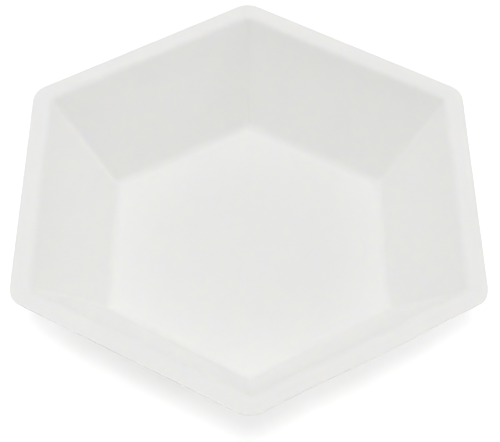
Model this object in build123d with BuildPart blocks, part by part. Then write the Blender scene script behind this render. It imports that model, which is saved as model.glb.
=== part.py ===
from build123d import *

import os
from math import atan2, degrees, radians, tan

# Hexagonal weighing boat: a shallow dish thermoformed from one thin plastic sheet.
#
# Flat floor, six flat sloping walls and a flat die-cut rim, joined by rolled bends. The sheet has one
# thickness everywhere, so each bend has the sheet's thickness between its inner and its outer radius.
# Origin at the centre of the underside, +Z up, two opposite corners on the Y axis. Millimetres.

# Driving dimensions
rim_across_flats = 121.0     # cut edge to cut edge
rim_corner_radius = 6.0      # rounded corners of the die-cut edge
rim_width = 5.0              # flat rim, from the cut edge to the line where it would meet the wall
floor_across_flats = 76.0    # upper face of the floor, between the lines where it would meet the walls
height = 26.0                # underside of the floor to the top of the rim
sheet = 0.4                  # thickness of the plastic
crease_radius = 1.5          # inside the bowl, between neighbouring walls
floor_bend_radius = 2.0      # inside the bowl, between the floor and the walls
rim_bend_radius = 2.5        # upper side, between the rim and the walls

# The bowl's inner faces
sides = 6
depth = height - sheet
wall_run = (rim_across_flats - floor_across_flats) / 2 - rim_width
wall_lean = degrees(atan2(wall_run, depth))      # a wall's angle from the vertical

# The bowl's outer faces lie one sheet thickness outside the inner ones
outer_floor_across_flats = floor_across_flats + 2 * sheet * tan(radians(90 - wall_lean) / 2)


def hexagon(across_flats):
    """Draws a regular hexagon with two of its corners on the Y axis."""
    RegularPolygon(across_flats / 2, sides, major_radius=False, rotation=90)


# The space inside the bowl: level with the rim at its top, rounded at the creases and round the floor
with BuildPart() as bowl_space:
    with BuildSketch(Plane.XY.offset(sheet)):
        hexagon(floor_across_flats)
    extrude(amount=depth, taper=-wall_lean)
    fillet(bowl_space.edges().group_by(Axis.Z)[1], radius=crease_radius)
    fillet(bowl_space.edges().group_by(Axis.Z)[0], radius=floor_bend_radius)

# The boat: the bowl's outer form and the rim, hollowed by the bowl's space
with BuildPart() as weighing_boat:
    with BuildSketch(Plane.XY):
        hexagon(outer_floor_across_flats)
    extrude(amount=height, taper=-wall_lean)
    fillet(weighing_boat.edges().group_by(Axis.Z)[1], radius=crease_radius + sheet)
    fillet(weighing_boat.edges().group_by(Axis.Z)[0], radius=floor_bend_radius + sheet)

    with BuildSketch(Plane.XY.offset(height - sheet)) as rim:
        hexagon(rim_across_flats)
        fillet(rim.vertices(), radius=rim_corner_radius)
    extrude(amount=sheet)

    rim_underside = weighing_boat.faces().filter_by(Axis.Z).group_by(Axis.Z)[1].sort_by(SortBy.AREA)[-1]
    fillet(rim_underside.inner_wires()[0].edges(), radius=rim_bend_radius - sheet)

    add(bowl_space.part, mode=Mode.SUBTRACT)
    rim_top = weighing_boat.faces().filter_by(Axis.Z).group_by(Axis.Z)[-1].sort_by(SortBy.AREA)[-1]
    fillet(rim_top.inner_wires()[0].edges(), radius=rim_bend_radius)

weighing_boat.part.label = "weighing_boat"

os.makedirs("parts", exist_ok=True)
export_step(weighing_boat.part, "parts/weighing_boat.step")
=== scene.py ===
import math

import bmesh
import bpy
from mathutils import Matrix, Vector


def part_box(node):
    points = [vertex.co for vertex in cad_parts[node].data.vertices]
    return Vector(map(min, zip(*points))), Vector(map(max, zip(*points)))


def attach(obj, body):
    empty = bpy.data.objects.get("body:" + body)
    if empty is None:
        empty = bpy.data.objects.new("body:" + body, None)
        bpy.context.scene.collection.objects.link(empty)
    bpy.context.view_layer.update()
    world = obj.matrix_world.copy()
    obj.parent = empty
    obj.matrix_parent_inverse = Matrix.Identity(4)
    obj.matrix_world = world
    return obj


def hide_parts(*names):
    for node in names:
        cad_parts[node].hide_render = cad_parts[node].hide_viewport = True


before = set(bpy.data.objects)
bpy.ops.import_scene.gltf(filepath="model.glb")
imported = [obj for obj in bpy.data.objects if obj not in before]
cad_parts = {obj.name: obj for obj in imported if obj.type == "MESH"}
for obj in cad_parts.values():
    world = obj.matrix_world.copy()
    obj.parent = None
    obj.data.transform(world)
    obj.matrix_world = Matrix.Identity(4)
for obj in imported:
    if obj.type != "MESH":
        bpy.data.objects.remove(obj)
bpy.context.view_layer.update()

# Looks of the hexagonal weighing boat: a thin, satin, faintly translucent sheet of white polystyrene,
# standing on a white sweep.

# ---------------------------------------------------------------------------
# Sizes of the boat, in metres
# ---------------------------------------------------------------------------
MM = 0.001
NODE = "weighing_boat"
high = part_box(NODE)[1]
RIM_APOTHEM = high.x               # half the rim across its flats
HEIGHT = high.z                    # top of the rim above the table
SHEET = 0.4 * MM                   # thickness of the plastic
RIM_WIDTH = 5.0 * MM               # from the cut edge to the line where rim and wall would meet
FLOOR_APOTHEM = 38.0 * MM          # half the floor across its flats
RIM_CORNER_RADIUS = 6.0 * MM       # rounded corners of the cut edge
CREASE_RADIUS = 1.3 * MM           # between neighbouring walls, measured level
FLOOR_CORNER_RADIUS = 0.5 * MM     # at the corners of the flat part of the floor
FLOOR_BEND_RADIUS = 3.5 * MM       # upper face; drawn softer than the CAD's 2 mm, as the photo shows it
RIM_BEND_RADIUS = 2.5 * MM         # upper face

MOUTH_APOTHEM = RIM_APOTHEM - RIM_WIDTH
WALL_ANGLE = math.atan2(HEIGHT - SHEET, MOUTH_APOTHEM - FLOOR_APOTHEM)  # from the floor's plane
SIDES = 6
HALF_TURN = math.pi / SIDES        # half of the angle between neighbouring corners

# How far each corner of the thin rim has sprung up or down: from the back corner, clockwise seen from above
RIM_SPRING = [0.45 * MM, -0.2 * MM, -1.5 * MM, 1.6 * MM, -0.45 * MM, 0.0 * MM]

# A slight ripple runs along the front right side only. Bearings are anticlockwise from +X.
RIPPLE_HEIGHT = 0.45 * MM
RIPPLES_PER_TURN = 8
RIPPLE_CREST = math.radians(-35)   # its first crest, just past the corner
RIPPLE_MIDDLE = math.radians(-58)
RIPPLE_REACH = math.radians(40)    # to either side of its middle
RIPPLE_RISE_POWER = 3              # keeps the ripple near the rim

# ---------------------------------------------------------------------------
# The sheet
# ---------------------------------------------------------------------------
# Rows along the section, from the middle of the floor to the cut edge
FLOOR_STEPS = 18
BEND_STEPS = 8
WALL_STEPS = 20
RIM_STEPS = 8
# Points round each row
STRAIGHT_STEPS = 26
CORNER_STEPS = 10

SHARP_ANGLE = math.radians(60)     # the cut edge stays sharp, the bends are shaded smooth


def section():
    """The sheet's upper face, outwards from the middle: (apothem, corner radius, height) of each row."""
    rows = []

    # flat floor
    flat = FLOOR_APOTHEM - FLOOR_BEND_RADIUS * math.tan(WALL_ANGLE / 2)
    for i in range(1, FLOOR_STEPS):
        share = i / FLOOR_STEPS
        rows.append((flat * share, FLOOR_CORNER_RADIUS * share, SHEET))

    # bend between floor and wall
    for i in range(BEND_STEPS + 1):
        turn = WALL_ANGLE * i / BEND_STEPS
        apothem = flat + FLOOR_BEND_RADIUS * math.sin(turn)
        radius = FLOOR_CORNER_RADIUS + (CREASE_RADIUS - FLOOR_CORNER_RADIUS) * i / BEND_STEPS
        rows.append((apothem, radius, SHEET + FLOOR_BEND_RADIUS * (1 - math.cos(turn))))

    # bend between wall and rim, kept apart until the wall that leads to it is in place
    rim_start = MOUTH_APOTHEM + RIM_BEND_RADIUS * math.tan(WALL_ANGLE / 2)
    bend = []
    for i in range(BEND_STEPS + 1):
        turn = WALL_ANGLE * (1 - i / BEND_STEPS)
        apothem = rim_start - RIM_BEND_RADIUS * math.sin(turn)
        bend.append((apothem, HEIGHT - RIM_BEND_RADIUS * (1 - math.cos(turn))))

    # flat wall
    foot_apothem, _, foot_height = rows[-1]
    head_apothem, head_height = bend[0]
    for i in range(1, WALL_STEPS):
        share = i / WALL_STEPS
        apothem = foot_apothem + (head_apothem - foot_apothem) * share
        rows.append((apothem, CREASE_RADIUS, foot_height + (head_height - foot_height) * share))

    # the bend at the rim again: its corner arcs keep their centres, so they widen with it
    for apothem, z in bend:
        rows.append((apothem, CREASE_RADIUS + apothem - head_apothem, z))

    # flat rim, whose corners widen to those of the cut edge
    bend_end_radius = rows[-1][1]
    for i in range(1, RIM_STEPS + 1):
        share = i / RIM_STEPS
        radius = bend_end_radius + (RIM_CORNER_RADIUS - bend_end_radius) * share
        rows.append((rim_start + (RIM_APOTHEM - rim_start) * share, radius, HEIGHT))
    return rows


def ring(apothem, corner_radius):
    """Points of a hexagon with rounded corners, anticlockwise, starting with the arc of the +Y corner."""
    points = []
    centre_distance = (apothem - corner_radius) / math.cos(HALF_TURN)
    straight = (apothem - corner_radius) * math.tan(HALF_TURN)
    for k in range(SIDES):
        corner_angle = math.pi / 2 + k * 2 * HALF_TURN
        centre = Vector((math.cos(corner_angle), math.sin(corner_angle))) * centre_distance
        for i in range(CORNER_STEPS + 1):
            a = corner_angle + HALF_TURN * (2 * i / CORNER_STEPS - 1)
            points.append(centre + Vector((math.cos(a), math.sin(a))) * corner_radius)
        side_angle = corner_angle + HALF_TURN
        middle = Vector((math.cos(side_angle), math.sin(side_angle))) * apothem
        along = Vector((-math.sin(side_angle), math.cos(side_angle)))
        for i in range(1, STRAIGHT_STEPS):
            points.append(middle + along * straight * (2 * i / STRAIGHT_STEPS - 1))
    return points


def smooth(x):
    """Eases from 0 to 1 as x does, with level ends."""
    x = min(max(x, 0.0), 1.0)
    return x * x * (3 - 2 * x)


def rim_spring(x, y):
    """Height by which the rim has sprung at this bearing."""
    turns = ((math.pi / 2 - math.atan2(y, x)) / (2 * HALF_TURN)) % SIDES
    k = int(turns) % SIDES
    angle = (turns - int(turns)) * 2 * HALF_TURN
    # even along the side from corner to corner, so each side stays a straight line
    share = 0.5 + 0.5 * math.tan(angle - HALF_TURN) / math.tan(HALF_TURN)
    return RIM_SPRING[k] * (1 - share) + RIM_SPRING[(k + 1) % SIDES] * share


def rim_ripple(x, y):
    """Height of the ripple at this bearing: full along its middle half, fading to nothing at its ends."""
    bearing = math.atan2(y, x)
    fade = smooth(2 * (1 - abs(bearing - RIPPLE_MIDDLE) / RIPPLE_REACH))
    return RIPPLE_HEIGHT * fade * math.cos(RIPPLES_PER_TURN * (bearing - RIPPLE_CREST))


def settle(point):
    """Moves a point of the true form to where the moulded sheet has sprung: the floor stays flat."""
    rise = smooth(point.z / HEIGHT)
    lift = rim_spring(point.x, point.y) * rise + rim_ripple(point.x, point.y) * rise ** RIPPLE_RISE_POWER
    return Vector((point.x, point.y, point.z + lift))


def make_sheet():
    """The boat's one piece: the upper face row by row, thickened downwards to the sheet's thickness."""
    mesh = bpy.data.meshes.new("boat_sheet")
    bm = bmesh.new()
    centre = bm.verts.new(settle(Vector((0, 0, SHEET))))
    rows = []
    for apothem, radius, z in section():
        rows.append([bm.verts.new(settle(Vector((p.x, p.y, z)))) for p in ring(apothem, radius)])
    count = len(rows[0])
    for i in range(count):
        bm.faces.new((centre, rows[0][i], rows[0][(i + 1) % count]))
    for inner, outer in zip(rows, rows[1:]):
        for i in range(count):
            j = (i + 1) % count
            bm.faces.new((inner[i], outer[i], outer[j], inner[j]))
    bm.normal_update()
    bm.to_mesh(mesh)
    bm.free()

    boat = bpy.data.objects.new("boat_sheet", mesh)
    bpy.context.scene.collection.objects.link(boat)
    thicken = boat.modifiers.new("thickness", "SOLIDIFY")
    thicken.thickness = SHEET
    thicken.offset = -1
    thicken.use_even_offset = True
    bpy.context.view_layer.update()
    thickened = boat.evaluated_get(bpy.context.evaluated_depsgraph_get())
    solid = bpy.data.meshes.new_from_object(thickened)
    boat.modifiers.clear()
    boat.data = solid
    solid.name = "boat_sheet"
    for face in solid.polygons:
        face.use_smooth = True
    solid.set_sharp_from_angle(angle=SHARP_ANGLE)
    return boat


# ---------------------------------------------------------------------------
# Materials
# ---------------------------------------------------------------------------
# Polystyrene. The scales of its noises are in cells to the metre.
PLASTIC_IOR = 1.5
PLASTIC_SPECULAR = 0.3
SCATTER_COLOR = (1.0, 0.95, 0.85)
SCATTER_DEPTH = 0.15 * MM
CLOUD_SCALE = 60
CLOUD_DETAIL = 3
DARK_TINT = (0.91, 0.92, 0.895, 1)
LIGHT_TINT = (0.93, 0.935, 0.915, 1)
MOTTLE_SCALE = 900
MOTTLE_DETAIL = 2
MOTTLE_STRENGTH = 0.15
MOTTLE_HEIGHT = 0.02 * MM
GLOSSY_ROUGHNESS = 0.42
DULL_ROUGHNESS = 0.58

# The white sweep. Its glow is seen but casts no light, and grows between two distances from the middle.
PAPER_COLOR = (0.95, 0.95, 0.95, 1)
NEAR_GLOW = 0.32
FAR_GLOW = 1.0
NEAR_DISTANCE = 0.3
FAR_DISTANCE = 1.0


def new_material(name):
    """An empty node material: the material, its nodes, its links and its output node."""
    material = bpy.data.materials.new(name)
    material.use_nodes = True
    nodes = material.node_tree.nodes
    nodes.clear()
    output = nodes.new("ShaderNodeOutputMaterial")
    return material, nodes, material.node_tree.links, output


def polystyrene():
    """White antistatic polystyrene: satin, faintly translucent, with the soft mottle of a drawn sheet."""
    material, nodes, links, output = new_material("white_polystyrene")
    shader = nodes.new("ShaderNodeBsdfPrincipled")
    shader.inputs["IOR"].default_value = PLASTIC_IOR
    shader.inputs["Specular IOR Level"].default_value = PLASTIC_SPECULAR
    shader.subsurface_method = "RANDOM_WALK"
    shader.inputs["Subsurface Weight"].default_value = 1.0
    shader.inputs["Subsurface Radius"].default_value = SCATTER_COLOR
    shader.inputs["Subsurface Scale"].default_value = SCATTER_DEPTH
    coordinates = nodes.new("ShaderNodeTexCoord")

    cloud = nodes.new("ShaderNodeTexNoise")
    cloud.inputs["Scale"].default_value = CLOUD_SCALE
    cloud.inputs["Detail"].default_value = CLOUD_DETAIL
    links.new(coordinates.outputs["Object"], cloud.inputs["Vector"])
    tint = nodes.new("ShaderNodeMix")
    tint.data_type = "RGBA"
    tint.inputs["A"].default_value = DARK_TINT
    tint.inputs["B"].default_value = LIGHT_TINT
    links.new(cloud.outputs["Fac"], tint.inputs["Factor"])
    links.new(tint.outputs["Result"], shader.inputs["Base Color"])

    mottle = nodes.new("ShaderNodeTexNoise")
    mottle.inputs["Scale"].default_value = MOTTLE_SCALE
    mottle.inputs["Detail"].default_value = MOTTLE_DETAIL
    links.new(coordinates.outputs["Object"], mottle.inputs["Vector"])
    roughness = nodes.new("ShaderNodeMapRange")
    roughness.inputs["To Min"].default_value = GLOSSY_ROUGHNESS
    roughness.inputs["To Max"].default_value = DULL_ROUGHNESS
    links.new(mottle.outputs["Fac"], roughness.inputs["Value"])
    links.new(roughness.outputs["Result"], shader.inputs["Roughness"])

    bump = nodes.new("ShaderNodeBump")
    bump.inputs["Strength"].default_value = MOTTLE_STRENGTH
    bump.inputs["Distance"].default_value = MOTTLE_HEIGHT
    links.new(mottle.outputs["Fac"], bump.inputs["Height"])
    links.new(bump.outputs["Normal"], shader.inputs["Normal"])

    links.new(shader.outputs["BSDF"], output.inputs["Surface"])
    return material


def white_floor():
    """Paper that lights the boat as plain paper does, and is itself seen as white but for the shadow."""
    material, nodes, links, output = new_material("white_sweep")
    paper = nodes.new("ShaderNodeBsdfDiffuse")
    paper.inputs["Color"].default_value = PAPER_COLOR

    glow = nodes.new("ShaderNodeEmission")
    coordinates = nodes.new("ShaderNodeTexCoord")
    from_middle = nodes.new("ShaderNodeVectorMath")
    from_middle.operation = "LENGTH"
    links.new(coordinates.outputs["Object"], from_middle.inputs[0])
    away = nodes.new("ShaderNodeMapRange")
    away.inputs["From Min"].default_value = NEAR_DISTANCE
    away.inputs["From Max"].default_value = FAR_DISTANCE
    away.inputs["To Min"].default_value = NEAR_GLOW
    away.inputs["To Max"].default_value = FAR_GLOW
    links.new(from_middle.outputs["Value"], away.inputs["Value"])
    links.new(away.outputs["Result"], glow.inputs["Strength"])
    bright_paper = nodes.new("ShaderNodeAddShader")
    links.new(paper.outputs[0], bright_paper.inputs[0])
    links.new(glow.outputs[0], bright_paper.inputs[1])

    path = nodes.new("ShaderNodeLightPath")
    seen = path.outputs["Is Camera Ray"]
    for ray in ("Is Glossy Ray", "Is Transmission Ray"):
        either = nodes.new("ShaderNodeMath")
        either.operation = "MAXIMUM"
        links.new(seen, either.inputs[0])
        links.new(path.outputs[ray], either.inputs[1])
        seen = either.outputs[0]
    mix = nodes.new("ShaderNodeMixShader")
    links.new(seen, mix.inputs["Fac"])
    links.new(paper.outputs[0], mix.inputs[1])
    links.new(bright_paper.outputs[0], mix.inputs[2])
    links.new(mix.outputs[0], output.inputs["Surface"])
    return material


# ---------------------------------------------------------------------------
# Stage, light and camera
# ---------------------------------------------------------------------------
# Distances in metres, powers in watts and angles in degrees
SWEEP_HALF_WIDTH = 3.0

# Round softboxes in a studio tent, each opposite a wall of the bowl: watts by azimuth
SOFTBOX_DISTANCE = 1.5
SOFTBOX_DIAMETER = 0.9
LOW_ELEVATION = 20
LOW_WATTS = {30: 2.4, 90: 4.55, 150: 2.6, 210: 3.35, 270: 2.5, 330: 3.5}
HIGH_ELEVATION = 60
HIGH_WATTS = {90: 0.85, 150: 3.2, 210: 4.6, 270: 1.05}
# A smaller one in front, high up, draws the soft shadow
KEY_ELEVATION = 70
KEY_DIAMETER = 0.4
KEY_WATTS = 6.0
TENT_GLOW = 0.03

# The camera stands in front of the boat and looks at a point level with the rim
CAMERA_TARGET = (0.25 * MM, -11.15 * MM, HEIGHT)
CAMERA_AZIMUTH = -0.56
CAMERA_ELEVATION = 53.26
CAMERA_DISTANCE = 0.33997
CAMERA_ROLL = 0.29
CAMERA_SENSOR = 36                 # millimetres, as the lens
CAMERA_LENS = 93.6
CAMERA_CLIP_START = 0.01


def make_floor():
    """The white sweep that the boat stands on."""
    mesh = bpy.data.meshes.new("floor")
    bm = bmesh.new()
    bmesh.ops.create_grid(bm, x_segments=1, y_segments=1, size=SWEEP_HALF_WIDTH)
    bm.to_mesh(mesh)
    bm.free()
    floor = bpy.data.objects.new("floor", mesh)
    bpy.context.scene.collection.objects.link(floor)
    floor.data.materials.append(white_floor())


def aim(thing, place, target, roll=0.0):
    """Stands a lamp or camera at place and turns it towards target."""
    turn = (Vector(target) - place).to_track_quat("-Z", "Y").to_matrix().to_4x4()
    thing.matrix_world = Matrix.Translation(place) @ turn @ Matrix.Rotation(roll, 4, "Z")


def polar(middle, azimuth, elevation, distance):
    """A place at this distance from middle: azimuth 0 is in front, towards -Y, and 90 is towards +X."""
    a = math.radians(azimuth)
    e = math.radians(elevation)
    level = distance * math.cos(e)
    return Vector(middle) + Vector((level * math.sin(a), -level * math.cos(a), distance * math.sin(e)))


def softbox(name, azimuth, elevation, diameter, watts):
    """A round lamp that faces the boat."""
    light = bpy.data.lights.new(name, "AREA")
    light.shape = "DISK"
    light.size = diameter
    light.energy = watts
    lamp = bpy.data.objects.new(name, light)
    bpy.context.scene.collection.objects.link(lamp)
    aim(lamp, polar((0, 0, HEIGHT), azimuth, elevation, SOFTBOX_DISTANCE), (0, 0, 0))


def make_lights():
    """The softboxes, and the tent's own faint light from all round."""
    for azimuth, watts in LOW_WATTS.items():
        softbox(f"low_softbox_{azimuth}", azimuth, LOW_ELEVATION, SOFTBOX_DIAMETER, watts)
    for azimuth, watts in HIGH_WATTS.items():
        softbox(f"high_softbox_{azimuth}", azimuth, HIGH_ELEVATION, SOFTBOX_DIAMETER, watts)
    softbox("key_softbox", 0, KEY_ELEVATION, KEY_DIAMETER, KEY_WATTS)
    world = bpy.data.worlds.new("studio_tent")
    bpy.context.scene.world = world
    world.use_nodes = True
    background = world.node_tree.nodes["Background"]
    background.inputs["Color"].default_value = (1, 1, 1, 1)
    background.inputs["Strength"].default_value = TENT_GLOW


def make_camera():
    """The photo's viewpoint."""
    camera_data = bpy.data.cameras.new("camera")
    camera_data.sensor_width = CAMERA_SENSOR
    camera_data.lens = CAMERA_LENS
    camera_data.clip_start = CAMERA_CLIP_START
    camera = bpy.data.objects.new("camera", camera_data)
    bpy.context.scene.collection.objects.link(camera)
    place = polar(CAMERA_TARGET, CAMERA_AZIMUTH, CAMERA_ELEVATION, CAMERA_DISTANCE)
    aim(camera, place, CAMERA_TARGET, roll=math.radians(CAMERA_ROLL))
    bpy.context.scene.camera = camera


# ---------------------------------------------------------------------------
# The scene
# ---------------------------------------------------------------------------
boat = make_sheet()
boat.data.materials.append(polystyrene())
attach(boat, "root")
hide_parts(NODE)

make_floor()
make_lights()
make_camera()
bpy.context.scene.view_settings.view_transform = "Standard"
